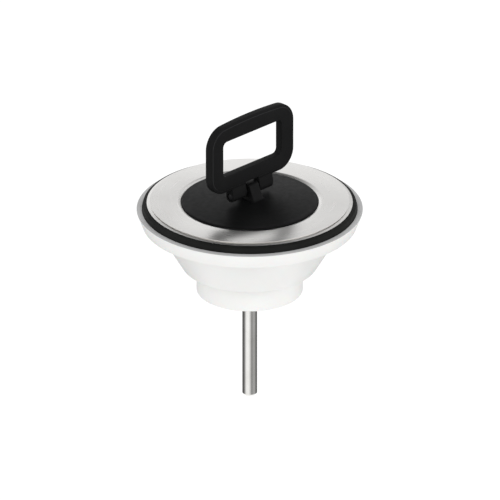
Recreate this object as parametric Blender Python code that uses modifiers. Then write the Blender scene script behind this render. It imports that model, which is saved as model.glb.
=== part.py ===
# Kitchen sink waste for a 90 mm hole, with its plug in place.
#
# Metres, +Z up. The waste's axis is Z, and z = 0 is the face of the sink that
# the upper gasket lies on. The plug's handle hinges on an axis along X.
# From top to bottom: handle, plug, steel flange with its strainer cup, upper
# gasket, slip washer, white waste body. One long screw runs from the cup's
# floor into a nut held in the body and clamps the sink between the two.

import math

import bmesh
import bpy

# Fits
FIT_GAP = 0.0003            # between pieces that rest on or in each other
CUT_OVERRUN = 0.002         # how far a cutter runs past what it cuts
JOIN_DEPTH = 0.001          # how far a joined form is sunk into its neighbour
MERGE_DISTANCE = 0.00002

# Facets round a turn
LARGE_STEPS = 56
MEDIUM_STEPS = 40
SMALL_STEPS = 24
HOLE_STEPS = 12

# Steel flange and strainer cup
FLANGE_WIDTH = 0.0187           # from the wall of the mouth to the outer edge
FLANGE_EDGE_INSIDE = 0.00025    # inside radius of the sheet's turned-down edge
FLANGE_EDGE_END_DEG = 5
SHEET = 0.0008
MOUTH_ROLL_INSIDE = 0.0004
SEAT_WIDTH = 0.0036
SEAT_DROP = 0.001
CUP_DEPTH = 0.016
CUP_BEND_RADIUS = 0.003
DIMPLE_MARGIN = 0.0017          # between the screw's head and the dimple's slope
DIMPLE_DEPTH = 0.0024
DIMPLE_SLOPE_RUN = 0.002
DRAIN_HOLE_RADIUS = 0.0022
DRAIN_HOLE_PITCH = 0.0094       # round a ring of holes
DRAIN_RING_PITCH = 0.0053       # from ring to ring

# Gasket and slip washer
GASKET_OVERHANG = 0.0025
GASKET_THICK = 0.0028
GASKET_EDGE_RADIUS = 0.0006
SLIP_WASHER_THICK = 0.0004

# Waste body
RIM_OVERHANG = 0.0027
RIM_PLATE = 0.0025
BAND_HEIGHT = 0.00825
BAND_TAPER = 0.0031
SKIRT_WALL = 0.0024
SHOULDER_WIDTH = 0.007
CONE_HEIGHT = 0.0248
CONE_EDGE_RADIUS = 0.0012
LEDGE_WIDTH = 0.0079            # from the cone's foot in to the neck
BODY_WALL = 0.0028
NECK_HEIGHT = 0.0153
NECK_WALL = 0.005
NECK_EDGE = 0.0004
SOCKET_RADIUS = 0.024
SOCKET_LEDGE = 0.0045
SOCKET_CEILING = 0.0033         # from the cone's foot down to the socket's ledge
SKIRT_RIB_COUNT = 12
SKIRT_RIB_THICK = 0.0016
SPOKE_COUNT = 4
SPOKE_THICK = 0.003
SPOKE_HEIGHT = 0.006
HUB_WALL = 0.00265
HUB_RELIEF = 0.0042             # from the cup's underside down to the hub
OUTLET_SEAL_THICK = 0.0025

# Clamping screw and nut, M8 x 100
SCREW_RADIUS = 0.004
SCREW_LENGTH = 0.100
SCREW_TIP_CHAMFER = 0.0013
HEAD_RADIUS = 0.0085
HEAD_HEIGHT = 0.0026
HEAD_EDGE_HEIGHT = 0.0011
SLOT_WIDTH = 0.002
SLOT_DEPTH = 0.0014
HEAD_SEAL_THICK = 0.0012
NUT_ACROSS_FLATS = 0.013
NUT_HEIGHT = 0.0065
NUT_CHAMFER = 0.0004

# Plug
PLUG_RADIUS = 0.0374
PLUG_GAP = 0.0004               # between the plug and the wall of the cup's mouth
PLUG_EDGE_RADIUS = 0.0008
PLUG_RIM = 0.0019
CROWN_HEIGHT = 0.0023
CAP_WALL = 0.0022
CAP_RIM_WIDTH = 0.006
BOSS_RADIUS = 0.0075
PLUG_SEAL_THICK = 0.0018
PLUG_SEAL_INSET = 0.0006        # of the seal's edge from the plug's edge
BEAD_WIDTH = 0.0022
BEAD_DROP = 0.0006
RETAINER_INSET = 0.005          # of the retainer's edge from the seal's bead
RETAINER_THICK = 0.0022
RETAINER_EDGE = 0.0006
PLUG_SCREW_RADIUS = 0.0016
PLUG_SCREW_HEAD_RADIUS = 0.0032
PLUG_SCREW_POINT = 0.0012
PLUG_SLOT_WIDTH = 0.0008
PLUG_SLOT_DEPTH = 0.0008
PILOT_COVER = 0.0016            # between the plug screw's hole and the pin's hole

# Handle
HANDLE_WIDTH = 0.0638
HANDLE_HEIGHT = 0.04
HANDLE_THICK = 0.0048
SIDE_BAR = 0.0096
LOWER_BAR = 0.0084
UPPER_BAR = 0.0095
TOP_ARCH = 0.00085
OUTER_CORNER_RADIUS = 0.0108
INNER_CORNER_RADIUS = 0.0018
HANDLE_CHAMFER = 0.0007
NOTCH_DEPTH = 0.00175           # cut into the lower bar over the post
NOTCH_SIDE_GAP = 0.0014         # between the notch's ends and the post
EAR_RADIUS = 0.003
EAR_LENGTH = 0.0101
EAR_SIDE_GAP = 0.0017           # between an ear and the post
EAR_FOOT_GAP = 0.0014           # between an ear and the plug's crown
EAR_REACH = 0.00515             # from the hinge axis up to the lower bar

# Hinge post on the plug
POST_WIDTH = 0.007
POST_RISE = 0.0046              # above the hinge axis
POST_TOP_HALF = 0.0030
POST_TOP_RADIUS = 0.0014
POST_TOP_START_DEG = 25
POST_WAIST_DROP = 0.0035        # below the hinge axis
POST_FOOT_FLARE = 0.0005
FOLD_GAP = 0.0004               # between the folded bar and the post
PIN_RADIUS = 0.0017
PIN_INSET = 0.0003

# Bends of the sheet, on its outer side
FLANGE_EDGE_RADIUS = SHEET + FLANGE_EDGE_INSIDE
MOUTH_ROLL_RADIUS = SHEET + MOUTH_ROLL_INSIDE

# Radii that follow from the fits
MOUTH_RADIUS = PLUG_RADIUS + PLUG_GAP
FLANGE_RADIUS = MOUTH_RADIUS + FLANGE_WIDTH
CUP_RADIUS = MOUTH_RADIUS - SEAT_WIDTH
DIMPLE_RADIUS = HEAD_RADIUS + DIMPLE_MARGIN
GASKET_RADIUS = FLANGE_RADIUS + GASKET_OVERHANG
RIM_RADIUS = GASKET_RADIUS + RIM_OVERHANG
BAND_FOOT_RADIUS = RIM_RADIUS - BAND_TAPER
CONE_TOP_RADIUS = BAND_FOOT_RADIUS - SHOULDER_WIDTH
NECK_RADIUS = SOCKET_RADIUS + NECK_WALL
CONE_FOOT_RADIUS = NECK_RADIUS + LEDGE_WIDTH
THROAT_RADIUS = SOCKET_RADIUS - SOCKET_LEDGE
SCREW_HOLE_RADIUS = SCREW_RADIUS + FIT_GAP
NUT_RADIUS = NUT_ACROSS_FLATS / 2 / math.cos(math.pi / 6)
NUT_POCKET_RADIUS = NUT_RADIUS + FIT_GAP / math.cos(math.pi / 6)
HUB_RADIUS = NUT_POCKET_RADIUS + HUB_WALL
SEAL_RADIUS = PLUG_RADIUS - PLUG_SEAL_INSET
BEAD_INNER_RADIUS = SEAL_RADIUS - BEAD_WIDTH
RETAINER_RADIUS = BEAD_INNER_RADIUS - BEAD_DROP - RETAINER_INSET
PILOT_RADIUS = PLUG_SCREW_RADIUS + FIT_GAP
PIN_HOLE_RADIUS = PIN_RADIUS + FIT_GAP
EAR_START = POST_WIDTH / 2 + EAR_SIDE_GAP
EAR_END = EAR_START + EAR_LENGTH

# Heights that follow from the stack
FLANGE_TOP = GASKET_THICK + FIT_GAP + FLANGE_EDGE_RADIUS
CUP_FLOOR = FLANGE_TOP - CUP_DEPTH
DIMPLE_FLOOR = CUP_FLOOR - DIMPLE_DEPTH
HEAD_FOOT = DIMPLE_FLOOR + FIT_GAP + HEAD_SEAL_THICK + FIT_GAP
RIM_TOP = -(FIT_GAP + SLIP_WASHER_THICK + FIT_GAP)
PLATE_FOOT = RIM_TOP - RIM_PLATE
BAND_FOOT = RIM_TOP - BAND_HEIGHT
CONE_FOOT = BAND_FOOT - CONE_HEIGHT
BODY_FLOOR = CONE_FOOT + BODY_WALL
NECK_FOOT = CONE_FOOT - NECK_HEIGHT
SOCKET_TOP = CONE_FOOT - SOCKET_CEILING
SPIDER_FOOT = CONE_FOOT + BODY_WALL / 2
SPOKE_TOP = BODY_FLOOR + SPOKE_HEIGHT
HUB_TOP = DIMPLE_FLOOR - SHEET - HUB_RELIEF
SEAL_TOP = FLANGE_TOP - PLUG_RIM - FIT_GAP
SEAL_FOOT = SEAL_TOP - PLUG_SEAL_THICK
BEAD_FOOT = SEAL_FOOT - BEAD_DROP
RETAINER_TOP = SEAL_FOOT - FIT_GAP
RETAINER_FOOT = RETAINER_TOP - RETAINER_THICK
HINGE_HEIGHT = FLANGE_TOP + CROWN_HEIGHT + EAR_FOOT_GAP + EAR_RADIUS
PILOT_TOP = HINGE_HEIGHT - PIN_HOLE_RADIUS - PILOT_COVER

PARTS = "sink_waste"
TOOLS = "cutters_and_forms"

STEEL = ("brushed_steel", (0.72, 0.71, 0.69), 0.28, 1.0)
SCREW_STEEL = ("screw_steel", (0.60, 0.60, 0.58), 0.25, 1.0)
BRASS = ("nut_brass", (0.66, 0.48, 0.20), 0.35, 1.0)
BLACK_RUBBER = ("black_rubber", (0.016, 0.017, 0.016), 0.60, 0.0)
GREY_SLIP = ("grey_slip_plastic", (0.38, 0.38, 0.38), 0.50, 0.0)
WHITE_PLASTIC = ("white_plastic", (0.86, 0.86, 0.84), 0.40, 0.0)
BLACK_PLASTIC = ("black_plastic", (0.016, 0.016, 0.017), 0.42, 0.0)


def clear_scene():
    for obj in list(bpy.data.objects):
        bpy.data.objects.remove(obj, do_unlink=True)


def collection(name):
    found = bpy.data.collections.get(name)
    if found is None:
        found = bpy.data.collections.new(name)
        bpy.context.scene.collection.children.link(found)
    return found


def material(spec):
    name, colour, roughness, metallic = spec
    found = bpy.data.materials.get(name)
    if found is None:
        found = bpy.data.materials.new(name)
        found.use_nodes = True
        shader = found.node_tree.nodes["Principled BSDF"]
        shader.inputs["Base Color"].default_value = (*colour, 1.0)
        shader.inputs["Roughness"].default_value = roughness
        shader.inputs["Metallic"].default_value = metallic
    return found


def add_carrier(name, height=0, parent=None):
    """An empty on a joint's axis: its children are what moves as one."""
    carrier = bpy.data.objects.new(name, None)
    carrier.location = (0, 0, height)
    carrier.parent = parent
    collection(PARTS).objects.link(carrier)
    return carrier


def add_part(name, mesh, spec, carrier=None):
    """A named sub-part with its material, on the carrier that moves it."""
    obj = bpy.data.objects.new(name, mesh)
    mesh.materials.append(material(spec))
    obj.parent = carrier
    collection(PARTS).objects.link(obj)
    return obj


def add_tool(name, mesh):
    """A hidden form that cuts or joins a sub-part."""
    obj = bpy.data.objects.new(name, mesh)
    obj.display_type = "WIRE"
    obj.hide_render = True
    collection(TOOLS).objects.link(obj)
    return obj


def boolean(target, tool, operation):
    tool.parent = target.parent
    step = target.modifiers.new(f"{operation.lower()}_{tool.name}", "BOOLEAN")
    step.operation = operation
    step.solver = "EXACT"
    step.object = tool


def cut(target, tool):
    boolean(target, tool, "DIFFERENCE")


def join(target, tool):
    boolean(target, tool, "UNION")


def arc(centre, radius, start, end, steps):
    """Points of an arc from start to end, in degrees from the first axis."""
    points = []
    for i in range(steps + 1):
        angle = math.radians(start + (end - start) * i / steps)
        points.append((
            centre[0] + radius * math.cos(angle),
            centre[1] + radius * math.sin(angle),
        ))
    return points


def profile_mesh(name, points, closed):
    """An outline in the XZ plane, as edges, ready for a Screw modifier."""
    mesh = bpy.data.meshes.new(name)
    edges = [(i, i + 1) for i in range(len(points) - 1)]
    if closed:
        edges.append((len(points) - 1, 0))
    mesh.from_pydata([(r, 0, z) for r, z in points], edges, [])
    return mesh


def turned_part(name, points, spec, steps, carrier=None, closed=True):
    """Outlines run down their outer side; one that meets the axis is open."""
    obj = add_part(name, profile_mesh(name, points, closed), spec, carrier)
    screw = obj.modifiers.new("turn", "SCREW")
    screw.axis = "Z"
    screw.steps = steps
    screw.render_steps = steps
    screw.use_merge_vertices = True
    screw.merge_threshold = MERGE_DISTANCE
    screw.use_smooth_shade = True
    return obj


def cylinder_mesh(name, radius, low, high, steps, places=((0, 0),)):
    """Upright cylinders from low to high, one at each place."""
    mesh = bpy.data.meshes.new(name)
    bm = bmesh.new()
    for x, y in places:
        made = bmesh.ops.create_cone(
            bm, cap_ends=True, segments=steps,
            radius1=radius, radius2=radius, depth=high - low,
        )
        bmesh.ops.translate(bm, verts=made["verts"], vec=(x, y, (low + high) / 2))
    bm.to_mesh(mesh)
    bm.free()
    return mesh


def slot_tool(name, half_length, width, low, high):
    """A straight cutter along X, for a screwdriver's slot or the handle's notch."""
    mesh = bpy.data.meshes.new(name)
    bm = bmesh.new()
    bmesh.ops.create_cube(bm, size=1)
    bmesh.ops.scale(bm, verts=bm.verts, vec=(2 * half_length, width, high - low))
    bmesh.ops.translate(bm, verts=bm.verts, vec=(0, 0, (low + high) / 2))
    bm.to_mesh(mesh)
    bm.free()
    return add_tool(name, mesh)


def cross_hole(name, half_length, height):
    """A cutter along X, for the hinge pin's hole."""
    mesh = cylinder_mesh(name, PIN_HOLE_RADIUS, -half_length, half_length, SMALL_STEPS)
    tool = add_tool(name, mesh)
    tool.rotation_euler = (0, math.pi / 2, 0)
    tool.location = (0, 0, height)
    return tool


def outline_mesh(name, outlines, thickness, chamfer=0):
    """A flat outline with thickness, made from a filled curve."""
    curve = bpy.data.curves.new(name, "CURVE")
    curve.dimensions = "2D"
    curve.fill_mode = "BOTH"
    curve.extrude = thickness / 2 - chamfer
    curve.bevel_depth = chamfer
    curve.bevel_resolution = 0
    curve.offset = -chamfer
    for points in outlines:
        spline = curve.splines.new("POLY")
        spline.points.add(len(points) - 1)
        for point, (x, y) in zip(spline.points, points):
            point.co = (x, y, 0, 1)
        spline.use_cyclic_u = True
    shape = bpy.data.objects.new(name, curve)
    collection(TOOLS).objects.link(shape)
    bpy.context.view_layer.update()
    graph = bpy.context.evaluated_depsgraph_get()
    mesh = bpy.data.meshes.new_from_object(shape.evaluated_get(graph))
    bpy.data.objects.remove(shape, do_unlink=True)
    bm = bmesh.new()
    bm.from_mesh(mesh)
    bmesh.ops.remove_doubles(bm, verts=bm.verts, dist=MERGE_DISTANCE)
    bmesh.ops.recalc_face_normals(bm, faces=bm.faces)
    bm.to_mesh(mesh)
    bm.free()
    mesh.name = name
    return mesh


def stand_up(obj, height=0, yaw=0):
    """Stands a flat outline up, so that its second axis is Z."""
    obj.rotation_euler = (math.pi / 2, 0, yaw)
    obj.location = (0, 0, height)


def seat_top():
    """Height of the plug's seat where it meets the wall of the cup's mouth."""
    slope = SEAT_DROP / SEAT_WIDTH
    return BEAD_FOOT + slope * (MOUTH_RADIUS - SEAL_RADIUS) - FIT_GAP * math.hypot(1, slope)


def drain_hole_places():
    """As many rings of holes as the flat part of the cup's floor has room for."""
    inner = DIMPLE_RADIUS + DIMPLE_SLOPE_RUN + DRAIN_HOLE_RADIUS
    outer = CUP_RADIUS - CUP_BEND_RADIUS - DRAIN_HOLE_RADIUS
    steps = max(0, int((outer - inner) / DRAIN_RING_PITCH))
    first = (inner + outer - steps * DRAIN_RING_PITCH) / 2
    places = []
    for ring in range(steps + 1):
        radius = first + ring * DRAIN_RING_PITCH
        count = max(3, round(2 * math.pi * radius / DRAIN_HOLE_PITCH))
        for i in range(count):
            angle = 2 * math.pi * (i + ring / 2) / count
            places.append((radius * math.cos(angle), radius * math.sin(angle)))
    return places


def make_strainer_flange():
    """Pressed sheet: strainer floor, plug seat, rolled mouth and flat flange."""
    seat = seat_top()
    surface = [
        (SCREW_HOLE_RADIUS, DIMPLE_FLOOR),
        (DIMPLE_RADIUS, DIMPLE_FLOOR),
        (DIMPLE_RADIUS + DIMPLE_SLOPE_RUN, CUP_FLOOR),
    ]
    surface += arc(
        (CUP_RADIUS - CUP_BEND_RADIUS, CUP_FLOOR + CUP_BEND_RADIUS), CUP_BEND_RADIUS, -90, 0, 3
    )
    surface += [(CUP_RADIUS, seat - SEAT_DROP), (MOUTH_RADIUS, seat)]
    surface += arc(
        (MOUTH_RADIUS + MOUTH_ROLL_RADIUS, FLANGE_TOP - MOUTH_ROLL_RADIUS),
        MOUTH_ROLL_RADIUS, 180, 90, 3,
    )
    surface += arc(
        (FLANGE_RADIUS - FLANGE_EDGE_RADIUS, FLANGE_TOP - FLANGE_EDGE_RADIUS),
        FLANGE_EDGE_RADIUS, 90, FLANGE_EDGE_END_DEG, 3,
    )
    flange = turned_part("strainer_flange", surface, STEEL, LARGE_STEPS, closed=False)
    sheet = flange.modifiers.new("sheet", "SOLIDIFY")
    sheet.thickness = SHEET
    sheet.offset = -1
    sheet.use_even_offset = True
    holes = cylinder_mesh(
        "drain_holes", DRAIN_HOLE_RADIUS, CUP_FLOOR - SHEET - CUT_OVERRUN,
        CUP_FLOOR + CUT_OVERRUN, HOLE_STEPS, drain_hole_places(),
    )
    cut(flange, add_tool("drain_holes", holes))


def ring_outline(inner, outer, low, high, edge=0):
    """A square ring section, with its outer upper edge rounded if asked."""
    if edge:
        upper = arc((outer - edge, high - edge), edge, 90, 0, 3)
    else:
        upper = [(outer, high)]
    return upper + [(outer, low), (inner, low), (inner, high)]


def make_upper_gasket():
    outline = ring_outline(
        MOUTH_RADIUS + SHEET + FIT_GAP, GASKET_RADIUS, 0, GASKET_THICK, GASKET_EDGE_RADIUS
    )
    turned_part("upper_gasket", outline, BLACK_RUBBER, LARGE_STEPS)


def cone_radius(height):
    """Outer radius of the body's cone, carried on up inside the band."""
    taper = CONE_TOP_RADIUS - CONE_FOOT_RADIUS
    return CONE_TOP_RADIUS + (height - BAND_FOOT) * taper / CONE_HEIGHT


def band_radius(height):
    return BAND_FOOT_RADIUS + (height - BAND_FOOT) * BAND_TAPER / BAND_HEIGHT


def body_mouth_radius():
    return cone_radius(RIM_TOP) - BODY_WALL


def body_outline():
    tilt = math.atan2(CONE_TOP_RADIUS - CONE_FOOT_RADIUS, CONE_HEIGHT)
    inset = CONE_EDGE_RADIUS * (1 - math.sin(tilt)) / math.cos(tilt)
    outline = [
        (RIM_RADIUS, RIM_TOP),
        (BAND_FOOT_RADIUS, BAND_FOOT),
        (BAND_FOOT_RADIUS - SKIRT_WALL, BAND_FOOT),
        (band_radius(PLATE_FOOT) - SKIRT_WALL, PLATE_FOOT),
        (cone_radius(PLATE_FOOT), PLATE_FOOT),
    ]
    outline += arc(
        (CONE_FOOT_RADIUS - inset, CONE_FOOT + CONE_EDGE_RADIUS),
        CONE_EDGE_RADIUS, -math.degrees(tilt), -90, 3,
    )
    outline += [
        (NECK_RADIUS, CONE_FOOT),
        (NECK_RADIUS, NECK_FOOT + NECK_EDGE),
        (NECK_RADIUS - NECK_EDGE, NECK_FOOT),
        (SOCKET_RADIUS + NECK_EDGE, NECK_FOOT),
        (SOCKET_RADIUS, NECK_FOOT + NECK_EDGE),
        (SOCKET_RADIUS, SOCKET_TOP),
        (THROAT_RADIUS, SOCKET_TOP),
        (THROAT_RADIUS, BODY_FLOOR),
        (cone_radius(BODY_FLOOR) - BODY_WALL, BODY_FLOOR),
        (body_mouth_radius(), RIM_TOP),
    ]
    return outline


def join_ribs(body, name, count, outline, thickness):
    """Ribs that stand out from the axis, evenly spaced."""
    for i in range(count):
        rib_name = f"{name}_{i + 1}"
        rib = add_tool(rib_name, outline_mesh(rib_name, [outline], thickness))
        stand_up(rib, yaw=2 * math.pi * (i + 1 / 2) / count)
        join(body, rib)


def skirt_rib_outline():
    """Fills the channel between the cone and the band's skirt."""
    low = BAND_FOOT + JOIN_DEPTH
    high = PLATE_FOOT + JOIN_DEPTH
    return [
        (cone_radius(low) - BODY_WALL / 2, low),
        (band_radius(low) - SKIRT_WALL / 2, low),
        (band_radius(high) - SKIRT_WALL / 2, high),
        (cone_radius(high) - BODY_WALL / 2, high),
    ]


def spoke_outline():
    """Carries the hub from the floor and the foot of the cone."""
    inner = HUB_RADIUS - JOIN_DEPTH
    return [
        (inner, SPIDER_FOOT),
        (cone_radius(SPIDER_FOOT) - BODY_WALL / 2, SPIDER_FOOT),
        (cone_radius(SPOKE_TOP) - BODY_WALL / 2, SPOKE_TOP),
        (inner, SPOKE_TOP),
    ]


def make_waste_body(carrier):
    """Band, cone and outlet neck, with ribs outside and the nut's hub inside."""
    body = turned_part("waste_body", body_outline(), WHITE_PLASTIC, LARGE_STEPS, carrier)
    join_ribs(body, "skirt_rib", SKIRT_RIB_COUNT, skirt_rib_outline(), SKIRT_RIB_THICK)
    hub = cylinder_mesh("hub", HUB_RADIUS, SPIDER_FOOT, HUB_TOP, MEDIUM_STEPS)
    join(body, add_tool("hub", hub))
    join_ribs(body, "spoke", SPOKE_COUNT, spoke_outline(), SPOKE_THICK)
    low = SPIDER_FOOT - CUT_OVERRUN
    bore = cylinder_mesh("hub_bore", SCREW_HOLE_RADIUS, low, HUB_TOP + CUT_OVERRUN, SMALL_STEPS)
    cut(body, add_tool("hub_bore", bore))
    high = SPIDER_FOOT + NUT_HEIGHT + FIT_GAP
    pocket = cylinder_mesh("nut_pocket", NUT_POCKET_RADIUS, low, high, 6)
    cut(body, add_tool("nut_pocket", pocket))


def make_body_rings(carrier):
    """Slip washer on the body's rim, and the seal in its outlet socket."""
    washer = ring_outline(
        body_mouth_radius() + FIT_GAP, RIM_RADIUS, RIM_TOP + FIT_GAP, -FIT_GAP
    )
    turned_part("slip_washer", washer, GREY_SLIP, LARGE_STEPS, carrier)
    top = SOCKET_TOP - FIT_GAP
    seal = ring_outline(
        THROAT_RADIUS + FIT_GAP, SOCKET_RADIUS - FIT_GAP, top - OUTLET_SEAL_THICK, top
    )
    turned_part("outlet_seal", seal, BLACK_RUBBER, MEDIUM_STEPS, carrier)


def make_clamp_nut(carrier):
    """Hexagon nut, flush with the foot of the hub that holds it."""
    low = SPIDER_FOOT
    high = SPIDER_FOOT + NUT_HEIGHT
    nut = add_part("clamp_nut", cylinder_mesh("clamp_nut", NUT_RADIUS, low, high, 6), BRASS, carrier)
    edges = nut.modifiers.new("chamfer", "BEVEL")
    edges.width = NUT_CHAMFER
    edges.segments = 1
    thread = cylinder_mesh(
        "nut_thread", SCREW_HOLE_RADIUS, low - CUT_OVERRUN, high + CUT_OVERRUN, SMALL_STEPS
    )
    cut(nut, add_tool("nut_thread", thread))


def make_clamp_screw(carrier):
    """Low domed head with a slot, and a plain shank down to a chamfered tip."""
    tip = HEAD_FOOT - SCREW_LENGTH
    edge = HEAD_FOOT + HEAD_EDGE_HEIGHT
    rise = HEAD_HEIGHT - HEAD_EDGE_HEIGHT
    dome = [
        (HEAD_RADIUS * math.sin(math.radians(a)), edge + rise * math.cos(math.radians(a)))
        for a in (0, 30, 60, 90)
    ]
    outline = dome + [
        (HEAD_RADIUS, HEAD_FOOT),
        (SCREW_RADIUS, HEAD_FOOT),
        (SCREW_RADIUS, tip + SCREW_TIP_CHAMFER),
        (SCREW_RADIUS - SCREW_TIP_CHAMFER, tip),
        (0, tip),
    ]
    screw = turned_part("clamp_screw", outline, SCREW_STEEL, SMALL_STEPS, carrier, closed=False)
    top = HEAD_FOOT + HEAD_HEIGHT
    half = HEAD_RADIUS + CUT_OVERRUN
    cut(screw, slot_tool("screw_slot", half, SLOT_WIDTH, top - SLOT_DEPTH, top + CUT_OVERRUN))


def make_screw_seal():
    outline = ring_outline(
        SCREW_HOLE_RADIUS, HEAD_RADIUS, DIMPLE_FLOOR + FIT_GAP, HEAD_FOOT - FIT_GAP
    )
    turned_part("screw_seal", outline, BLACK_RUBBER, SMALL_STEPS)


def crown(radius):
    """Height of the plug's crown at a radius."""
    run = PLUG_RADIUS - PLUG_EDGE_RADIUS
    return FLANGE_TOP + CROWN_HEIGHT * (1 - (radius / run) ** 2)


def cap_outline():
    """Crown, round edge and flat rim, then the hollow underside and the boss."""
    run = PLUG_RADIUS - PLUG_EDGE_RADIUS
    foot = FLANGE_TOP - PLUG_RIM
    rim_inner = PLUG_RADIUS - CAP_RIM_WIDTH
    steps = 6
    outline = [(run * i / steps, crown(run * i / steps)) for i in range(steps)]
    outline += arc((run, FLANGE_TOP - PLUG_EDGE_RADIUS), PLUG_EDGE_RADIUS, 90, 0, 3)
    outline += [(PLUG_RADIUS, foot), (rim_inner, foot)]
    steps = 3
    for i in range(steps + 1):
        radius = rim_inner + (BOSS_RADIUS - rim_inner) * i / steps
        outline.append((radius, crown(radius) - CAP_WALL))
    outline += [(BOSS_RADIUS, SEAL_FOOT), (0, SEAL_FOOT)]
    return outline


def post_outline():
    """Side view of the hinge post about the hinge axis.

    Its faces slope out to a waist that the folded handle's bar just clears,
    and flare below the bar.
    """
    notch = EAR_REACH + NOTCH_DEPTH
    foot_half = notch + POST_FOOT_FLARE
    foot = (foot_half, crown(foot_half) - HINGE_HEIGHT)
    base = (foot_half, foot[1] - JOIN_DEPTH)
    waist = (notch - FOLD_GAP, -POST_WAIST_DROP)
    centre = (POST_TOP_HALF - POST_TOP_RADIUS, POST_RISE - POST_TOP_RADIUS)
    right = [base, foot, waist] + arc(centre, POST_TOP_RADIUS, POST_TOP_START_DEG, 90, 3)
    left = [(-x, z) for x, z in reversed(right)]
    return right + left


def make_plug_cap(carrier):
    """Crowned cap with the hinge post on top and a screw hole from below."""
    cap = turned_part(
        "plug_cap", cap_outline(), BLACK_PLASTIC, LARGE_STEPS, carrier, closed=False
    )
    post = add_tool("hinge_post", outline_mesh("hinge_post", [post_outline()], POST_WIDTH))
    stand_up(post, HINGE_HEIGHT, math.pi / 2)
    join(cap, post)
    cut(cap, cross_hole("post_hole", POST_WIDTH / 2 + CUT_OVERRUN, HINGE_HEIGHT))
    pilot = cylinder_mesh(
        "pilot_hole", PILOT_RADIUS, SEAL_FOOT - CUT_OVERRUN, PILOT_TOP, HOLE_STEPS
    )
    cut(cap, add_tool("pilot_hole", pilot))


def make_plug_seal(carrier):
    """Flat ring with a bead that bears on the sloping seat."""
    slope = SEAT_DROP / SEAT_WIDTH
    outline = [
        (SEAL_RADIUS, SEAL_TOP),
        (SEAL_RADIUS, BEAD_FOOT),
        (BEAD_INNER_RADIUS, BEAD_FOOT - slope * BEAD_WIDTH),
        (BEAD_INNER_RADIUS - BEAD_DROP, SEAL_FOOT),
        (BOSS_RADIUS + FIT_GAP, SEAL_FOOT),
        (BOSS_RADIUS + FIT_GAP, SEAL_TOP),
    ]
    turned_part("plug_seal", outline, BLACK_RUBBER, LARGE_STEPS, carrier)


def make_seal_retainer(carrier):
    """Disc under the seal, and the countersunk screw that holds it."""
    sink = PLUG_SCREW_HEAD_RADIUS - PLUG_SCREW_RADIUS
    outline = [
        (RETAINER_RADIUS, RETAINER_TOP),
        (RETAINER_RADIUS, RETAINER_FOOT + RETAINER_EDGE),
        (RETAINER_RADIUS - RETAINER_EDGE, RETAINER_FOOT),
        (PLUG_SCREW_HEAD_RADIUS + FIT_GAP, RETAINER_FOOT),
        (PILOT_RADIUS, RETAINER_FOOT + sink),
        (PILOT_RADIUS, RETAINER_TOP),
    ]
    turned_part("seal_retainer", outline, BLACK_PLASTIC, MEDIUM_STEPS, carrier)
    tip = PILOT_TOP - FIT_GAP
    outline = [
        (0, tip),
        (PLUG_SCREW_RADIUS / 2, tip),
        (PLUG_SCREW_RADIUS, tip - PLUG_SCREW_POINT),
        (PLUG_SCREW_RADIUS, RETAINER_FOOT + sink),
        (PLUG_SCREW_HEAD_RADIUS, RETAINER_FOOT),
        (0, RETAINER_FOOT),
    ]
    screw = turned_part("retainer_screw", outline, SCREW_STEEL, SMALL_STEPS, carrier, closed=False)
    cut(screw, slot_tool(
        "retainer_screw_slot", PLUG_SCREW_HEAD_RADIUS + CUT_OVERRUN, PLUG_SLOT_WIDTH,
        RETAINER_FOOT - CUT_OVERRUN, RETAINER_FOOT + PLUG_SLOT_DEPTH,
    ))


def arched_frame(half_width, low, high, sag, corner):
    """Outline with round corners, a level foot and a gently arched top.

    The top is high in its middle and sag lower above the corners' centres.
    """
    bend = half_width - corner
    tilt = math.atan2(2 * sag, bend)
    end = bend + corner * math.sin(tilt)
    upper = high - sag * (end / bend) ** 2 - corner * math.cos(tilt)
    right = arc((bend, low + corner), corner, -90, 0, 5)
    right += arc((bend, upper), corner, 0, 90 - math.degrees(tilt), 5)
    steps = 8
    top = []
    for i in range(1, steps):
        x = end * (1 - 2 * i / steps)
        top.append((x, high - sag * (x / bend) ** 2))
    left = [(-x, z) for x, z in reversed(right)]
    return right + top + left


def ear_outline():
    """Side view of an ear: a straight tab from the bar, round about the pin."""
    top = EAR_REACH + JOIN_DEPTH
    return [(EAR_RADIUS, top), (-EAR_RADIUS, top)] + arc((0, 0), EAR_RADIUS, 180, 360, 11)


def make_handle_loop(carrier):
    """Upright loop with two ears and a notch for the post, about the hinge axis."""
    foot = EAR_REACH
    top = EAR_REACH + HANDLE_HEIGHT
    half = HANDLE_WIDTH / 2
    outer = arched_frame(half, foot, top, TOP_ARCH, OUTER_CORNER_RADIUS)
    inner = arched_frame(
        half - SIDE_BAR, foot + LOWER_BAR, top - UPPER_BAR, 0, INNER_CORNER_RADIUS
    )
    mesh = outline_mesh("handle_loop", [outer, inner], HANDLE_THICK, HANDLE_CHAMFER)
    handle = add_part("handle_loop", mesh, BLACK_PLASTIC, carrier)
    stand_up(handle)
    for side, name in ((-1, "left_ear"), (1, "right_ear")):
        ear = add_tool(name, outline_mesh(name, [ear_outline()], EAR_LENGTH))
        stand_up(ear, yaw=math.pi / 2)
        ear.location.x = side * (EAR_START + EAR_END) / 2
        join(handle, ear)
    cut(handle, slot_tool(
        "bar_notch", POST_WIDTH / 2 + NOTCH_SIDE_GAP, HANDLE_THICK + CUT_OVERRUN,
        foot - CUT_OVERRUN, foot + NOTCH_DEPTH,
    ))
    cut(handle, cross_hole("ear_holes", EAR_END + CUT_OVERRUN, 0))


def make_hinge_pin(carrier):
    half = EAR_END - PIN_INSET
    mesh = cylinder_mesh("hinge_pin", PIN_RADIUS, -half, half, SMALL_STEPS)
    pin = add_part("hinge_pin", mesh, BLACK_PLASTIC, carrier)
    pin.rotation_euler = (0, math.pi / 2, 0)


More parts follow.
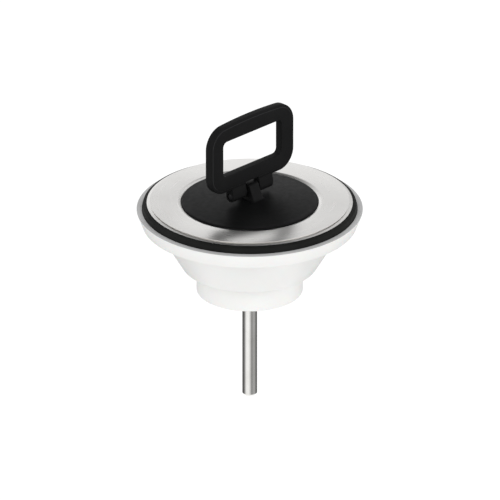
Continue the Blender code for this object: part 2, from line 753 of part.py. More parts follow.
def main():
    clear_scene()
    make_strainer_flange()
    make_upper_gasket()
    make_screw_seal()

    make_clamp_screw(add_carrier("screw_turn"))

    body_clamp = add_carrier("body_clamp")
    make_waste_body(body_clamp)
    make_body_rings(body_clamp)
    make_clamp_nut(body_clamp)

    plug_lift = add_carrier("plug_lift")
    make_plug_cap(plug_lift)
    make_plug_seal(plug_lift)
    make_seal_retainer(plug_lift)

    handle_fold = add_carrier("handle_fold", HINGE_HEIGHT, plug_lift)
    make_handle_loop(handle_fold)
    make_hinge_pin(handle_fold)


main()
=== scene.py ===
# Kitchen sink waste with its plug and folding handle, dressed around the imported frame.
# A piece's values and outlines are in millimetres. An outline's corner is its radius and
# height, and a third number rounds it by that radius. The studio is in metres, +Z up.
import math

import bmesh
import bpy
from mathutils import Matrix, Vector


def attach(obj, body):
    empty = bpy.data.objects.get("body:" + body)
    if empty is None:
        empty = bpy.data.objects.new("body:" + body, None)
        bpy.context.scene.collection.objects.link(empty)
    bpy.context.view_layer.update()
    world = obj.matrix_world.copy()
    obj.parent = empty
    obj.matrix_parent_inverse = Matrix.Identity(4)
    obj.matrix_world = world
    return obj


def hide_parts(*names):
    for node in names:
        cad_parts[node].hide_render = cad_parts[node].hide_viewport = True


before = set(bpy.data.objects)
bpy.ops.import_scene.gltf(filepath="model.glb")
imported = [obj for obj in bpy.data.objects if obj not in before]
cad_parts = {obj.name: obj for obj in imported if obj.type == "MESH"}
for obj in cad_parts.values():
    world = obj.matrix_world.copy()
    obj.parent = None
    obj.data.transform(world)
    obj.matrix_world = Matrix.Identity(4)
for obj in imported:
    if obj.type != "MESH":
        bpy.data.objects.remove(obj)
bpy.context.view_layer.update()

mm = 0.001
# Points this near are welded, or count as level with each other
weld, near = 0.001 * mm, 0.01 * mm


# Working with operators

def selectNothing():
    if bpy.context.object and bpy.context.object.mode != "OBJECT":
        bpy.ops.object.mode_set(mode="OBJECT")
    bpy.ops.object.select_all(action="DESELECT")


def workOn(piece):
    selectNothing()
    bpy.context.view_layer.objects.active = piece
    piece.select_set(True)


def editAll(piece):
    workOn(piece)
    bpy.ops.object.mode_set(mode="EDIT")
    bpy.ops.mesh.select_all(action="SELECT")


def leaveEdit():
    bpy.ops.object.mode_set(mode="OBJECT")


def added(name):
    # The primitive just added, with its place moved into its mesh
    piece = bpy.context.object
    piece.name = name
    bpy.ops.object.transform_apply(location=True, rotation=True, scale=True)
    return piece


def pick(piece, kind, test):
    editAll(piece)
    bpy.ops.mesh.select_mode(type=kind)
    bpy.ops.mesh.select_all(action="DESELECT")
    form = bmesh.from_edit_mesh(piece.data)
    for part in form.faces if kind == "FACE" else form.edges:
        part.select_set(test(part))
    bmesh.update_edit_mesh(piece.data)


def extrudeOn(rise, grow):
    # Draws the selection up and widens it about the waste's axis
    bpy.ops.mesh.extrude_region_move(TRANSFORM_OT_translate={"value": (0, 0, rise)})
    bpy.ops.transform.resize(value=grow, center_override=(0, 0, 0))


def isSharp(edge, degrees=35):
    return len(edge.link_faces) == 2 and edge.calc_face_angle() > math.radians(degrees)


def softenEdges(piece, width, steps, test=isSharp):
    pick(piece, "EDGE", test)
    bpy.ops.mesh.bevel(offset=width, segments=steps, affect="EDGES")
    leaveEdit()


def applyModifier(piece, kind, **settings):
    workOn(piece)
    modifier = piece.modifiers.new(kind.lower(), kind)
    for key, value in settings.items():
        setattr(modifier, key, value)
    bpy.ops.object.modifier_apply(modifier=modifier.name)


def combine(piece, tool, operation):
    applyModifier(piece, "BOOLEAN", operation=operation, solver="EXACT", object=tool)
    bpy.data.objects.remove(tool, do_unlink=True)


def closeUp(piece):
    editAll(piece)
    bpy.ops.mesh.remove_doubles(threshold=weld)
    bpy.ops.mesh.normals_make_consistent(inside=False)
    leaveEdit()


def joinAll(pieces):
    workOn(pieces[0])
    for piece in pieces:
        piece.select_set(True)
    bpy.ops.object.join()
    return pieces[0]


def copiesAt(piece, places):
    # Own-mesh copies of a piece, each moved to its place
    copies = []
    for place in places:
        workOn(piece)
        bpy.ops.object.duplicate(linked=False)
        bpy.ops.transform.translate(value=place)
        bpy.ops.object.transform_apply(location=True, rotation=True, scale=True)
        copies.append(bpy.context.object)
    bpy.data.objects.remove(piece, do_unlink=True)
    return copies


def turnedCopies(piece, count, firstDegrees):
    # Own-mesh copies of a piece, evenly turned about the waste's axis
    copies = []
    for i in range(count):
        workOn(piece)
        bpy.ops.object.duplicate(linked=False)
        copy = bpy.context.object
        editAll(copy)
        angle = math.radians(firstDegrees + 360 * i / count)
        bpy.ops.transform.rotate(value=angle, orient_axis="Z", center_override=(0, 0, 0))
        leaveEdit()
        copies.append(copy)
    bpy.data.objects.remove(piece, do_unlink=True)
    return copies


def roundCorners(corners, closed, steps):
    line = []
    for i, corner in enumerate(corners):
        here = Vector(corner[:2])
        if len(corner) < 3 or (not closed and i in (0, len(corners) - 1)):
            line.append(here)
            continue
        before = (Vector(corners[i - 1][:2]) - here).normalized()
        after = (Vector(corners[(i + 1) % len(corners)][:2]) - here).normalized()
        half = before.angle(after) / 2
        centre = here + (before + after).normalized() * (corner[2] / math.sin(half))
        start = here + before * (corner[2] / math.tan(half)) - centre
        end = here + after * (corner[2] / math.tan(half)) - centre
        sweep = start.angle(end)
        for step in range(steps + 1):
            share = step / steps
            mixed = start * math.sin((1 - share) * sweep) + end * math.sin(share * sweep)
            line.append(centre + mixed / math.sin(sweep))
    return line


def turned(name, corners, closed=True, around=128, steps=4):
    # A ring grown station by station: out, in, up and down along the outline
    line = roundCorners(corners, closed, steps)
    selectNothing()
    bpy.ops.mesh.primitive_circle_add(
        vertices=around, radius=line[0][0] * mm, location=(0, 0, line[0][1] * mm)
    )
    piece = added(name)
    editAll(piece)
    last = line[0]
    for station in line[1:] + (line[:1] if closed else []):
        grow = station[0] / last[0]
        extrudeOn((station[1] - last[1]) * mm, (grow, grow, 1))
        last = station
    leaveEdit()
    closeUp(piece)
    return piece


def capEnds(piece):
    editAll(piece)
    bpy.ops.mesh.fill_holes(sides=0)
    bpy.ops.mesh.normals_make_consistent(inside=False)
    leaveEdit()


def rod(name, radius, low, high, along="Z", around=48, place=(0, 0)):
    # A closed bar between two heights, or along X about the height of place
    selectNothing()
    middle, turn = (place[0], place[1], (low + high) / 2), (0, 0, 0)
    if along == "X":
        middle, turn = ((low + high) / 2, place[0], place[1]), (0, math.pi / 2, 0)
    bpy.ops.mesh.primitive_cylinder_add(
        vertices=around, radius=radius * mm, depth=(high - low) * mm,
        location=[value * mm for value in middle], rotation=turn,
    )
    return added(name)


def block(name, size, middle):
    selectNothing()
    bpy.ops.mesh.primitive_cube_add(
        size=1, location=[value * mm for value in middle], scale=[value * mm for value in size]
    )
    return added(name)


def finished(piece, finish, body, node, angle=32):
    workOn(piece)
    bpy.ops.object.shade_smooth_by_angle(angle=math.radians(angle))
    piece.data.materials.clear()
    piece.data.materials.append(finish)
    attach(piece, body)
    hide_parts(node)


# Finishes

def newFinish(name, sockets):
    finish = bpy.data.materials.new(name)
    finish.use_nodes = True
    shader = finish.node_tree.nodes["Principled BSDF"]
    for socket, value in sockets.items():
        shader.inputs[socket].default_value = value
    return finish, shader


def addNode(finish, kind, inputs, **settings):
    node = finish.node_tree.nodes.new(kind)
    for key, value in settings.items():
        setattr(node, key, value)
    for socket, value in inputs.items():
        if isinstance(value, bpy.types.NodeSocket):
            finish.node_tree.links.new(value, node.inputs[socket])
        else:
            node.inputs[socket].default_value = value
    return node


def feed(finish, shader, socket, value):
    finish.node_tree.links.new(value, shader.inputs[socket])


def calculated(finish, operation, first, second=0.0, third=0.0):
    inputs = {0: first, 1: second, 2: third}
    return addNode(finish, "ShaderNodeMath", inputs, operation=operation).outputs[0]


def vectorMath(finish, operation, inputs, output="Vector"):
    return addNode(finish, "ShaderNodeVectorMath", inputs, operation=operation).outputs[output]


def spread(finish, value, low, high, start=0.3, stop=0.7):
    # Noise bunches round a half, so its middle is stretched over the wanted range
    node = addNode(finish, "ShaderNodeMapRange", {
        "Value": value, "From Min": start, "From Max": stop, "To Min": low, "To Max": high,
    })
    return node.outputs["Result"]


def shades(finish, value, dark, light):
    node = addNode(finish, "ShaderNodeValToRGB", {"Fac": value})
    for element, position, tone in zip(node.color_ramp.elements, (0.3, 0.7), (dark, light)):
        element.position = position
        element.color = (*tone, 1)
    return node.outputs["Color"]


def objectPlace(finish):
    return addNode(finish, "ShaderNodeTexCoord", {}).outputs["Object"]


def noise(finish, place, scale, detail=3, roughness=0.5):
    node = addNode(finish, "ShaderNodeTexNoise", {
        "Vector": place, "Scale": scale, "Detail": detail, "Roughness": roughness,
    })
    return node.outputs["Fac"]


def ringNoise(finish, across, around, detail=3):
    # Noise that runs in rings round a turned piece, fine across them and long around
    place = objectPlace(finish)
    flat = vectorMath(finish, "MULTIPLY", {0: place, 1: (1, 1, 0)})
    radius = vectorMath(finish, "LENGTH", {0: flat}, "Value")
    height = addNode(finish, "ShaderNodeSeparateXYZ", {0: place}).outputs["Z"]
    wide = calculated(finish, "MULTIPLY", radius, across)
    tall = calculated(finish, "MULTIPLY", height, across)
    aim = vectorMath(finish, "NORMALIZE", {0: flat})
    along = vectorMath(finish, "SCALE", {0: aim, "Scale": around})
    ends = addNode(finish, "ShaderNodeSeparateXYZ", {0: along}).outputs
    joined = addNode(finish, "ShaderNodeCombineXYZ", {
        "X": calculated(finish, "ADD", wide, tall), "Y": ends["X"], "Z": ends["Y"],
    })
    return noise(finish, joined.outputs[0], 1.0, detail)


def bump(finish, shader, height, strength, distance):
    node = addNode(finish, "ShaderNodeBump", {
        "Height": height, "Strength": strength, "Distance": distance,
    })
    feed(finish, shader, "Normal", node.outputs["Normal"])


def dressed(finish, shader, look, tone, gloss, relief, start=0.3, stop=0.7):
    feed(finish, shader, "Base Color", shades(finish, tone, look["dark"], look["light"]))
    feed(finish, shader, "Roughness", spread(finish, gloss, *look["roughness"], start, stop))
    bump(finish, shader, relief, *look["relief"])
    return finish


# Every look has its darkest and lightest tone, its least and greatest roughness, and its
# relief as strength and depth. Scales are in features per metre, those of rings across and
# around them. "sockets" are constants of the shader.
steelLook = {
    "dark": (0.77, 0.76, 0.745), "light": (0.805, 0.797, 0.782), "roughness": (0.27, 0.29),
    "relief": (0.02, 0.00002), "fineRings": (6000, 1.6), "broadRings": (500, 2.5),
    "ringRange": (0.1, 0.42), "cloudScale": 55, "sockets": {"Metallic": 1.0, "Anisotropic": 0.55},
}
screwLook = {
    "dark": (0.80, 0.79, 0.76), "light": (0.90, 0.89, 0.87), "roughness": (0.09, 0.15),
    "relief": (0.05, 0.00001), "hairScale": (6000, 6000, 60), "patchScale": 120,
    "sockets": {"Metallic": 1.0},
}
brassLook = {
    "dark": (0.62, 0.43, 0.17), "light": (0.74, 0.56, 0.26), "roughness": (0.24, 0.36),
    "relief": (0.12, 0.00003), "marks": (5000, 3), "stainScale": 260, "sockets": {"Metallic": 1.0},
}
rubberLook = {
    "dark": (0.008, 0.0085, 0.008), "light": (0.013, 0.0135, 0.0125), "roughness": (0.55, 0.68),
    "relief": (0.25, 0.00005), "grainScale": 2600, "sockets": {"Specular IOR Level": 0.08},
}
slipLook = {
    "dark": (0.39, 0.39, 0.39), "light": (0.46, 0.46, 0.46), "roughness": (0.45, 0.58),
    "relief": (0.25, 0.00003), "grainScale": 3200, "sockets": {"Specular IOR Level": 0.3},
}
whiteLook = {
    "dark": (0.855, 0.855, 0.84), "light": (0.885, 0.885, 0.872), "roughness": (0.36, 0.46),
    "relief": (0.25, 0.00003), "grainScale": 1900,
    "sockets": {"Specular IOR Level": 0.45, "Subsurface Weight": 0.08, "Subsurface Scale": 0.002},
}
blackLook = {
    "dark": (0.004, 0.0041, 0.0043), "light": (0.0065, 0.0066, 0.0068), "roughness": (0.40, 0.50),
    "relief": (0.25, 0.00003), "grainScale": 2400, "sockets": {"Specular IOR Level": 0.075},
}
handleLook = {
    "dark": (0.0090, 0.0091, 0.0093), "light": (0.0120, 0.0121, 0.0123), "roughness": (0.40, 0.50),
    "relief": (0.25, 0.00003), "grainScale": 2400, "sockets": {"Specular IOR Level": 0.025},
}
pinLook = {
    "dark": (0.010, 0.010, 0.011), "light": (0.016, 0.016, 0.017), "roughness": (0.34, 0.44),
    "relief": (0.25, 0.00003), "grainScale": 2400, "sockets": {"Specular IOR Level": 0.25},
}
# What all the moulded looks share: flow marks in tone and gloss, and the grain's noise
mouldLook = {"toneScale": 45, "glossScale": 405, "grainDetail": 4, "grainRoughness": 0.6}
# Painted highlight, a pale line along the step of the handle's plate, in mm: how far from the
# loop's middle plane, how wide, the half sizes, middle and foot of what it runs round, its tone
paintedStepHighlight = {
    "side": 2.24, "width": 0.12, "halfWidth": 26.0, "halfHeight": 14.0, "middle": 36.0,
    "foot": 15.95, "tone": (0.030, 0.030, 0.031),
}


def brushedSteel(look):
    # Fine rings left by brushing on a turntable, and a faint cloudiness
    finish, shader = newFinish("circularBrushedSteel", look["sockets"])
    around = addNode(finish, "ShaderNodeTangent", {}, direction_type="RADIAL", axis="Z")
    feed(finish, shader, "Tangent", around.outputs[0])
    fine = ringNoise(finish, *look["fineRings"])
    broad = ringNoise(finish, *look["broadRings"], detail=2)
    cloud = noise(finish, objectPlace(finish), look["cloudScale"])
    both = calculated(finish, "MULTIPLY", fine, broad)
    return dressed(finish, shader, look, cloud, both, fine, *look["ringRange"])


def drawnSteel(look):
    # Bright drawn bar: hair lines along its length, a few duller patches
    finish, shader = newFinish("brightDrawnSteel", look["sockets"])
    lines = addNode(finish, "ShaderNodeMapping", {
        "Vector": objectPlace(finish), "Scale": look["hairScale"],
    }, vector_type="POINT").outputs[0]
    hair = noise(finish, lines, 1.0)
    patch = noise(finish, objectPlace(finish), look["patchScale"])
    return dressed(finish, shader, look, patch, hair, hair)


def machinedBrass(look):
    finish, shader = newFinish("machinedBrass", look["sockets"])
    marks = ringNoise(finish, *look["marks"])
    stain = noise(finish, objectPlace(finish), look["stainScale"], detail=4)
    return dressed(finish, shader, look, stain, marks, marks)


def moulded(name, look):
    # Moulded surface: fine grain, and flow marks that change tone and gloss slowly
    finish, shader = newFinish(name, look["sockets"])
    place = objectPlace(finish)
    grain = noise(
        finish, place, look["grainScale"], mouldLook["grainDetail"], mouldLook["grainRoughness"]
    )
    tone = noise(finish, place, mouldLook["toneScale"])
    gloss = noise(finish, place, mouldLook["glossScale"])
    return dressed(finish, shader, look, tone, gloss, grain)


def paintStepHighlight(finish):
    # Painted highlight: the step round the loop's plate is painted paler where light would catch
    # it, but not the ears or the window's edge
    shader = finish.node_tree.nodes["Principled BSDF"]
    plain = shader.inputs["Base Color"].links[0].from_socket
    parts = addNode(finish, "ShaderNodeSeparateXYZ", {0: objectPlace(finish)}).outputs
    side = calculated(finish, "ABSOLUTE", parts["Y"])
    onStep = calculated(finish, "COMPARE", side, paintedStepHighlight["side"] * mm, paintedStepHighlight["width"] * mm)
    across = calculated(finish, "ABSOLUTE", parts["X"])
    up = calculated(finish, "SUBTRACT", parts["Z"], paintedStepHighlight["middle"] * mm)
    up = calculated(finish, "ABSOLUTE", up)
    wide = calculated(finish, "DIVIDE", across, paintedStepHighlight["halfWidth"] * mm)
    tall = calculated(finish, "DIVIDE", up, paintedStepHighlight["halfHeight"] * mm)
    outside = calculated(finish, "GREATER_THAN", calculated(finish, "MAXIMUM", wide, tall), 1.0)
    above = calculated(finish, "GREATER_THAN", parts["Z"], paintedStepHighlight["foot"] * mm)
    band = calculated(finish, "MULTIPLY", onStep, calculated(finish, "MULTIPLY", outside, above))
    # A colour mix takes its colours in sockets 6 and 7 and gives the result in 2
    inputs = {"Factor": band, 6: plain, 7: (*paintedStepHighlight["tone"], 1)}
    mix = addNode(finish, "ShaderNodeMix", inputs, data_type="RGBA")
    feed(finish, shader, "Base Color", mix.outputs[2])


steel = brushedSteel(steelLook)
screwSteel = drawnSteel(screwLook)
brass = machinedBrass(brassLook)
rubber = moulded("mattBlackRubber", rubberLook)
slipPlastic = moulded("greySlipPlastic", slipLook)
whitePlastic = moulded("whiteMouldedPlastic", whiteLook)
blackPlastic = moulded("blackMouldedPlastic", blackLook)
handlePlastic = moulded("blackHandlePlastic", handleLook)
# Paints a highlight along the step of the handle's plate
paintStepHighlight(handlePlastic)
pinPlastic = moulded("blackPinPlastic", pinLook)
print("finishes ready")


# Steel flange with its strainer cup

flange = {
    "sheet": 0.8, "top": 4.15, "mouthRadius": 37.55, "rollFoot": 3.5, "rollRadius": 39.6,
    "rollInset": 0.2, "rollDepth": 1.0,
    "flatRadius": 54.45, "stepDrop": 0.52, "lip": 0.1, "grooveDepth": 0.6, "ledgeDrop": 0.5,
    "outerRadius": 56.2, "edgeFoot": 3.0, "edgeReturn": 2.0, "edgeDraft": 0.1, "returnDraft": 0.3,
    "seatTop": -0.48, "cupRadius": 34.2, "seatDrop": 1.0, "floor": -11.85, "floorBend": 3.0,
    "dimpleFloor": -14.25, "dimpleRadius": 10.2, "dimpleSlope": 2.0, "dimpleShift": 0.37,
    "screwHole": 4.3, "holeRadius": 2.2, "holePitch": 9.4, "ringPitch": 5.3, "cutterReach": 3,
}


def drainHolePlaces():
    inner = flange["dimpleRadius"] + flange["dimpleSlope"] + flange["holeRadius"]
    outer = flange["cupRadius"] - flange["floorBend"] - flange["holeRadius"]
    steps = int((outer - inner) / flange["ringPitch"])
    places = []
    for ring in range(steps + 1):
        radius = (inner + outer - steps * flange["ringPitch"]) / 2 + ring * flange["ringPitch"]
        count = round(2 * math.pi * radius / flange["holePitch"])
        for i in range(count):
            angle = 2 * math.pi * (i + ring / 2) / count
            places.append((radius * math.cos(angle) * mm, radius * math.sin(angle) * mm, 0))
    return places


def flangeOutline():
    # The sheet's upper side out to the edge, then its underside back to the middle
    sheet, top, wall = flange["sheet"], flange["top"], flange["mouthRadius"]
    flat, roll = flange["flatRadius"], flange["rollRadius"]
    ledge, under, lip = top - flange["stepDrop"], top - sheet, top - flange["lip"]
    groove = flat - flange["grooveDepth"]
    outer, foot, draft = flange["outerRadius"], flange["edgeFoot"], flange["edgeDraft"]
    inner = outer - flange["edgeReturn"]
    cup, floor, bend = flange["cupRadius"], flange["floor"], flange["floorBend"]
    seat, drop = flange["seatTop"], flange["seatDrop"]
    slope = drop / (wall - cup)
    seatUnder = seat - sheet * math.hypot(1, slope)
    dimple, dimpleFloor = flange["dimpleRadius"], flange["dimpleFloor"]
    dimpleTop, shift = dimple + flange["dimpleSlope"], flange["dimpleShift"]
    return [
        (flange["screwHole"], dimpleFloor), (dimple, dimpleFloor, 0.8), (dimpleTop, floor, 1.2),
        (cup, floor, bend), (cup, seat - drop, 0.7),
        (wall, seat, 0.5), (wall, flange["rollFoot"], 0.35), (roll, top, 2.6),
        (flat, top, 0.04), (flat, lip), (groove, lip), (groove, ledge),
        (outer - draft, ledge - flange["ledgeDrop"], 0.05), (outer, foot + draft, 0.03),
        (outer - draft / 2, foot), (inner, foot, 0.05),
        (inner - flange["returnDraft"], under, 0.05), (roll + flange["rollInset"], under, 1.8),
        (wall + sheet, under - flange["rollDepth"], 0.4),
        (wall + sheet, seatUnder + sheet * slope, 1.3),
        (cup + sheet, seatUnder - (wall - cup - sheet) * slope, 0.3),
        (cup + sheet, floor - sheet, bend + sheet),
        (dimpleTop + shift, floor - sheet), (dimple + shift, dimpleFloor - sheet),
        (flange["screwHole"], dimpleFloor - sheet),
    ]


def makeFlange():
    piece = turned("steelFlange", flangeOutline(), around=192, steps=6)
    low, high = flange["floor"] - flange["cutterReach"], flange["floor"] + flange["cutterReach"]
    cutter = rod("drainCutter", flange["holeRadius"], low, high, around=24)
    combine(piece, joinAll(copiesAt(cutter, drainHolePlaces())), "DIFFERENCE")
    finished(piece, steel, "strainer", "strainer_flange")


makeFlange()
print("steel flange turned and pierced")


# Rubber and slip rings

rings = {
    "gasketInner": 38.9, "gasketTopRadius": 58.2, "gasketFootRadius": 58.95,
    "gasketTop": 2.8, "gasketFall": 0.65, "gasketSlope": 2.2, "gasketFoot": -0.62,
    "slipInner": 54.2, "slipOuter": 61.7, "slipTop": -0.64, "slipFoot": -0.87, "slipEdge": 0.06,
    "headSealInner": 4.3, "headSealOuter": 8.5, "headSealTop": -12.75, "headSealFoot": -13.95,
    "headSealEdge": 0.3,
    "outletSealInner": 19.8, "outletSealOuter": 23.7, "outletSealTop": -37.65,
    "outletSealFoot": -40.15, "outletSealEdge": 0.35,
}


def ring(name, kind, around=128):
    # A plain ring from its values above, its outer edges rounded more than its inner ones
    inner, outer, low, high, edge = [
        rings[kind + part] for part in ("Inner", "Outer", "Foot", "Top", "Edge")
    ]
    return turned(name, [
        (outer, high, edge), (outer, low, edge), (inner, low, edge / 2), (inner, high, edge / 2),
    ], around=around)


def makeRings():
    gasket = turned("rubberGasket", [
        (rings["gasketTopRadius"], rings["gasketTop"] - rings["gasketFall"], 0.35),
        (rings["gasketFootRadius"], rings["gasketFoot"], 0.1),
        (rings["gasketInner"], rings["gasketFoot"], 0.3),
        (rings["gasketInner"], rings["gasketTop"], 0.3),
        (rings["gasketTopRadius"] - rings["gasketSlope"], rings["gasketTop"], 0.5),
    ], around=160)
    finished(gasket, rubber, "strainer", "upper_gasket")
    slip = ring("slipWasher", "slip", 160)
    finished(slip, slipPlastic, "housing", "slip_washer")
    headSeal = ring("screwHeadSeal", "headSeal", 64)
    finished(headSeal, rubber, "strainer", "screw_seal")
    outletSeal = ring("outletSeal", "outletSeal")
    finished(outletSeal, rubber, "housing", "outlet_seal")


makeRings()
print("rings turned")


# White body: band, cone, neck, with the nut's hub and its spokes inside

body = {
    "rimTop": -0.9, "rimRadius": 61.7, "bandFoot": -9.25, "bandFootRadius": 58.6,
    "skirtWall": 2.4, "wall": 2.8,
    "plateFoot": -3.5, "coneTopRadius": 51.6, "coneFootRadius": 36.9, "coneFoot": -34.05,
    "neckRadius": 29.1, "neckFoot": -49.35, "socketRadius": 24.0, "socketTop": -37.35,
    "throatRadius": 19.5, "floor": -31.25, "hubRadius": 10.5, "hubTop": -19.25, "hubFoot": -32.65,
    "spokeTop": -25.25, "spokeThick": 3.0, "spokes": 4, "ribThick": 1.6, "ribs": 12, "ribShift": 1,
    "coneBite": 1.4, "skirtBite": 1.2, "hubBite": 1, "softEdge": 0.5, "cutterSpare": 2,
    "nutPocket": 7.85, "nutPocketTop": -25.85, "screwHole": 4.3,
    "threadPitch": 2.309, "threadCrest": 23.1, "threadTurns": 2.6, "threadFoot": -48.2,
    "threadSink": 0.15, "threadRootHalf": 0.75, "threadCrestHalf": 0.25, "threadFades": 6,
}


def coneRadius(height):
    taper = (body["coneTopRadius"] - body["coneFootRadius"]) / (body["bandFoot"] - body["coneFoot"])
    return body["coneTopRadius"] + (height - body["bandFoot"]) * taper


def bandRadius(height):
    taper = (body["rimRadius"] - body["bandFootRadius"]) / (body["rimTop"] - body["bandFoot"])
    return body["bandFootRadius"] + (height - body["bandFoot"]) * taper


def byCorner(piece, corners):
    # A plane's vertices with the corners they move to; its last two are in the other order
    return zip(piece.data.vertices, (corners[0], corners[1], corners[3], corners[2]))


def slab(name, corners, thick):
    # A plate standing in the XZ plane, from its corners
    selectNothing()
    bpy.ops.mesh.primitive_plane_add(size=1)
    piece = added(name)
    for vertex, (x, z) in byCorner(piece, corners):
        vertex.co = (x * mm, -thick / 2 * mm, z * mm)
    editAll(piece)
    bpy.ops.mesh.extrude_region_move(TRANSFORM_OT_translate={"value": (0, thick * mm, 0)})
    bpy.ops.mesh.select_all(action="SELECT")
    bpy.ops.mesh.normals_make_consistent(inside=False)
    leaveEdit()
    return piece


def makeBody():
    plate, foot = body["plateFoot"], body["bandFoot"]
    piece = turned("wasteBody", [
        (body["rimRadius"], body["rimTop"], 0.3),
        (body["bandFootRadius"], foot, 0.6),
        (body["bandFootRadius"] - body["skirtWall"], foot, 0.5),
        (bandRadius(plate) - body["skirtWall"], plate, 0.9),
        (coneRadius(plate), plate, 0.9),
        (body["coneFootRadius"], body["coneFoot"], 1.3),
        (body["neckRadius"], body["coneFoot"], 0.5),
        (body["neckRadius"], body["neckFoot"], 0.6),
        (body["socketRadius"], body["neckFoot"], 0.5),
        (body["socketRadius"], body["socketTop"], 0.3),
        (body["throatRadius"], body["socketTop"], 0.4),
        (body["throatRadius"], body["floor"], 0.6),
        (coneRadius(body["floor"]) - body["wall"], body["floor"], 1.5),
        (coneRadius(body["rimTop"]) - body["wall"], body["rimTop"], 0.3),
    ], around=160)
    bite, skirtBite, soft = body["coneBite"], body["skirtBite"], body["softEdge"] * mm
    low, high = foot + body["ribShift"], plate + body["ribShift"]
    rib = slab("skirtRib", [
        (coneRadius(low) - bite, low), (bandRadius(low) - skirtBite, low),
        (bandRadius(high) - skirtBite, high), (coneRadius(high) - bite, high),
    ], body["ribThick"])
    ribs = joinAll(turnedCopies(rib, body["ribs"], 180 / body["ribs"]))
    combine(piece, ribs, "UNION")
    hub = rod("hub", body["hubRadius"], body["hubFoot"], body["hubTop"], around=96)
    softenEdges(hub, soft, 3)
    combine(piece, hub, "UNION")
    low, high, inner = body["hubFoot"], body["spokeTop"], body["hubRadius"] - body["hubBite"]
    spoke = slab("spoke", [
        (inner, low), (coneRadius(low) - bite, low), (coneRadius(high) - bite, high), (inner, high),
    ], body["spokeThick"])
    softenEdges(spoke, soft, 3, lambda edge: isSharp(edge) and all(
        vertex.co.z > high * mm - near for vertex in edge.verts
    ))
    spokes = joinAll(turnedCopies(spoke, body["spokes"], 180 / body["spokes"]))
    combine(piece, spokes, "UNION")
    below, spare = body["hubFoot"] - body["cutterSpare"], body["cutterSpare"]
    bore = rod("hubBore", body["screwHole"], below, body["hubTop"] + spare)
    combine(piece, bore, "DIFFERENCE")
    pocket = rod("nutPocket", body["nutPocket"], below, body["nutPocketTop"], around=6)
    combine(piece, pocket, "DIFFERENCE")
    finished(piece, whitePlastic, "housing", "waste_body")


def makeOutletThread():
    # One ridge drawn round the socket, fading in and out at its ends
    selectNothing()
    wall, crest = body["socketRadius"] + body["threadSink"], body["threadCrest"]
    foot, pitch, turnsInAll = body["threadFoot"] * mm, body["threadPitch"] * mm, body["threadTurns"]
    root, top = body["threadRootHalf"], body["threadCrestHalf"]
    bpy.ops.mesh.primitive_plane_add(size=1)
    piece = added("outletThread")
    section = ((wall, -root), (crest, -top), (crest, top), (wall, root))
    for vertex, (x, z) in byCorner(piece, section):
        vertex.co = (x * mm, 0, (z + body["threadFoot"]) * mm)
    editAll(piece)
    perTurn = 64
    angle = 2 * math.pi / perTurn
    for i in range(round(turnsInAll * perTurn)):
        bpy.ops.mesh.extrude_region_move(TRANSFORM_OT_translate={"value": (0, 0, pitch / perTurn)})
        bpy.ops.transform.rotate(value=angle, orient_axis="Z", center_override=(0, 0, 0))
    leaveEdit()
    leastWidth, leastHeight = 0.02, 0.3
    for vertex in piece.data.vertices:
        around = math.atan2(vertex.co.y, vertex.co.x) % (2 * math.pi) / (2 * math.pi)
        turns = around + round((vertex.co.z - foot) / pitch - around)
        fade = min(1, turns * body["threadFades"], (turnsInAll - turns) * body["threadFades"])
        middle = foot + turns * pitch
        reach = wall * mm - (wall * mm - vertex.co.xy.length) * max(leastWidth, fade)
        vertex.co.xy *= reach / vertex.co.xy.length
        vertex.co.z = middle + (vertex.co.z - middle) * max(leastHeight, fade)
    closeUp(piece)
    finished(piece, whitePlastic, "housing", "waste_body")


makeBody()
makeOutletThread()
print("white body moulded")


# Clamping screw and its nut

screw = {
    "headTop": -9.85, "headEdge": -11.35, "headFoot": -12.45, "headRadius": 8.5, "domeSteps": 9,
    "radius": 4.05, "tip": -113.4, "tipChamfer": 1.33,
    "slotLength": 20, "slotWidth": 2.0, "slotDepth": 1.4,
    "nutFlats": 13.0, "nutFoot": -32.6, "nutTop": -26.2, "nutChamfer": 0.55,
    "nutBore": 4.25, "boreMouth": 5.0, "boreChamfer": 0.8,
}


def makeScrew():
    edge, rise, steps = screw["headEdge"], screw["headTop"] - screw["headEdge"], screw["domeSteps"]
    outline = []
    for step in range(1, steps):
        angle = math.radians(90 * step / steps)
        outline.append((screw["headRadius"] * math.sin(angle), edge + rise * math.cos(angle)))
    outline += [
        (screw["headRadius"], edge - 0.1, 0.1),
        (screw["headRadius"], screw["headFoot"], 0.2),
        (screw["radius"], screw["headFoot"], 0.3),
        (screw["radius"], screw["tip"] + screw["tipChamfer"], 0.5),
        (screw["radius"] - screw["tipChamfer"], screw["tip"], 0.25),
        (0.3, screw["tip"]),
    ]
    piece = turned("clampScrew", outline, closed=False, around=96)
    capEnds(piece)
    size = (screw["slotLength"], screw["slotWidth"], screw["slotDepth"] + 1)
    slot = block("screwSlot", size, (0, 0, screw["headTop"] + 1 - size[2] / 2))
    combine(piece, slot, "DIFFERENCE")
    finished(piece, screwSteel, "clamp_screw", "clamp_screw")


